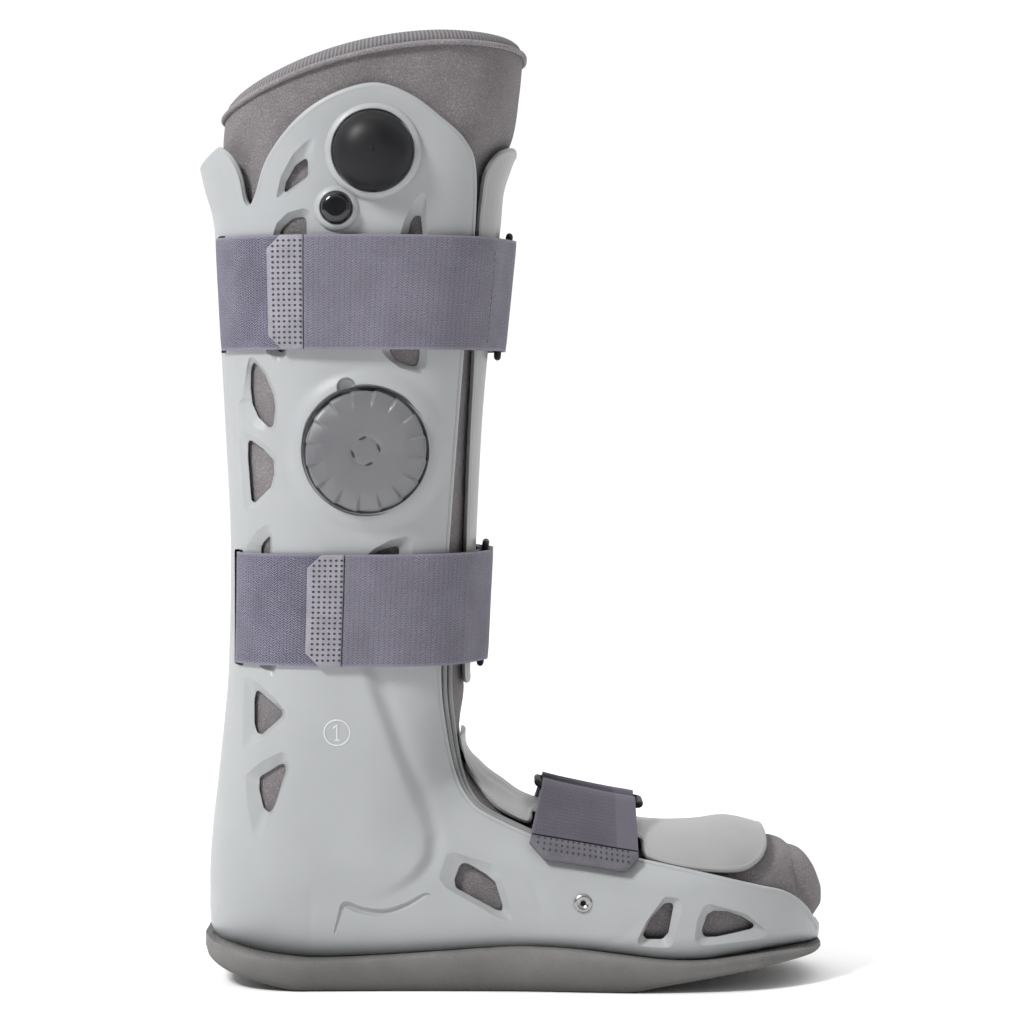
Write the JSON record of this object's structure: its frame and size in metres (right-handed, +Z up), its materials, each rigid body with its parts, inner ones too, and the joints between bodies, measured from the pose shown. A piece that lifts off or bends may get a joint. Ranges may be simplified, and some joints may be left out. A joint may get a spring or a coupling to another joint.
{
  "type": "medical walking boot",
  "caption": "Tall medical walking boot: hard rear shell with vents, shin and foot panels, padded liner, ring-and-strap closures, air pump bulb, dial and rocker sole.",
  "frame": {"origin": "on the ground under the sole, halfway along the boot and on its middle plane", "axes": "+Z up the leg, +X towards the toe, -Y the side with the pump bulb, button and dial"},
  "size_m": [0.2845, 0.1569, 0.4272],
  "materials": {
    "shell_plastic": "satin, fine grain",
    "panel_plastic": "satin, fine grain",
    "liner_fabric": "brushed knit over foam",
    "sole_rubber": "matt, finely ribbed sides",
    "strap_webbing": "loop-faced webbing",
    "hook_patch": "stiff, dotted",
    "black_plastic": "gloss",
    "bulb_rubber": "satin",
    "dial_plastic": "satin",
    "rivet_steel": "satin"
  },
  "bodies": {
    "boot": {"rear_shell": "shell_plastic", "shin_panel": "panel_plastic", "foot_panel": "panel_plastic", "liner": "liner_fabric", "liner_piping": "liner_fabric", "outsole": "sole_rubber", "upper_strap": "strap_webbing", "upper_strap_far": "strap_webbing", "lower_strap": "strap_webbing", "lower_strap_far": "strap_webbing", "foot_strap": "strap_webbing", "foot_strap_far": "strap_webbing", "upper_hook_tab": "hook_patch", "lower_hook_tab": "hook_patch", "foot_hook_tab": "hook_patch", "upper_ring": "black_plastic", "lower_ring": "black_plastic", "foot_ring": "black_plastic", "pump_bulb": "bulb_rubber", "rivet": "rivet_steel", "rivet_far": "rivet_steel"},
    "dial": {"selector_dial": "dial_plastic"},
    "valve": {"release_button": "black_plastic"}
  },
  "joints": [
    {"name": "dial_turn", "type": "hinge", "parent": "boot", "child": "dial", "pos_m": [-0.06406, -0.0636, 0.24225], "axis": [0, 1, 0], "range_deg": [-45, 45]},
    {"name": "valve_press", "type": "slide", "parent": "boot", "child": "valve", "axis": [0, 1, 0], "range_m": [0, 0.0015], "stiffness_N_per_m": 400, "springref_m": -0.001}
  ]
}
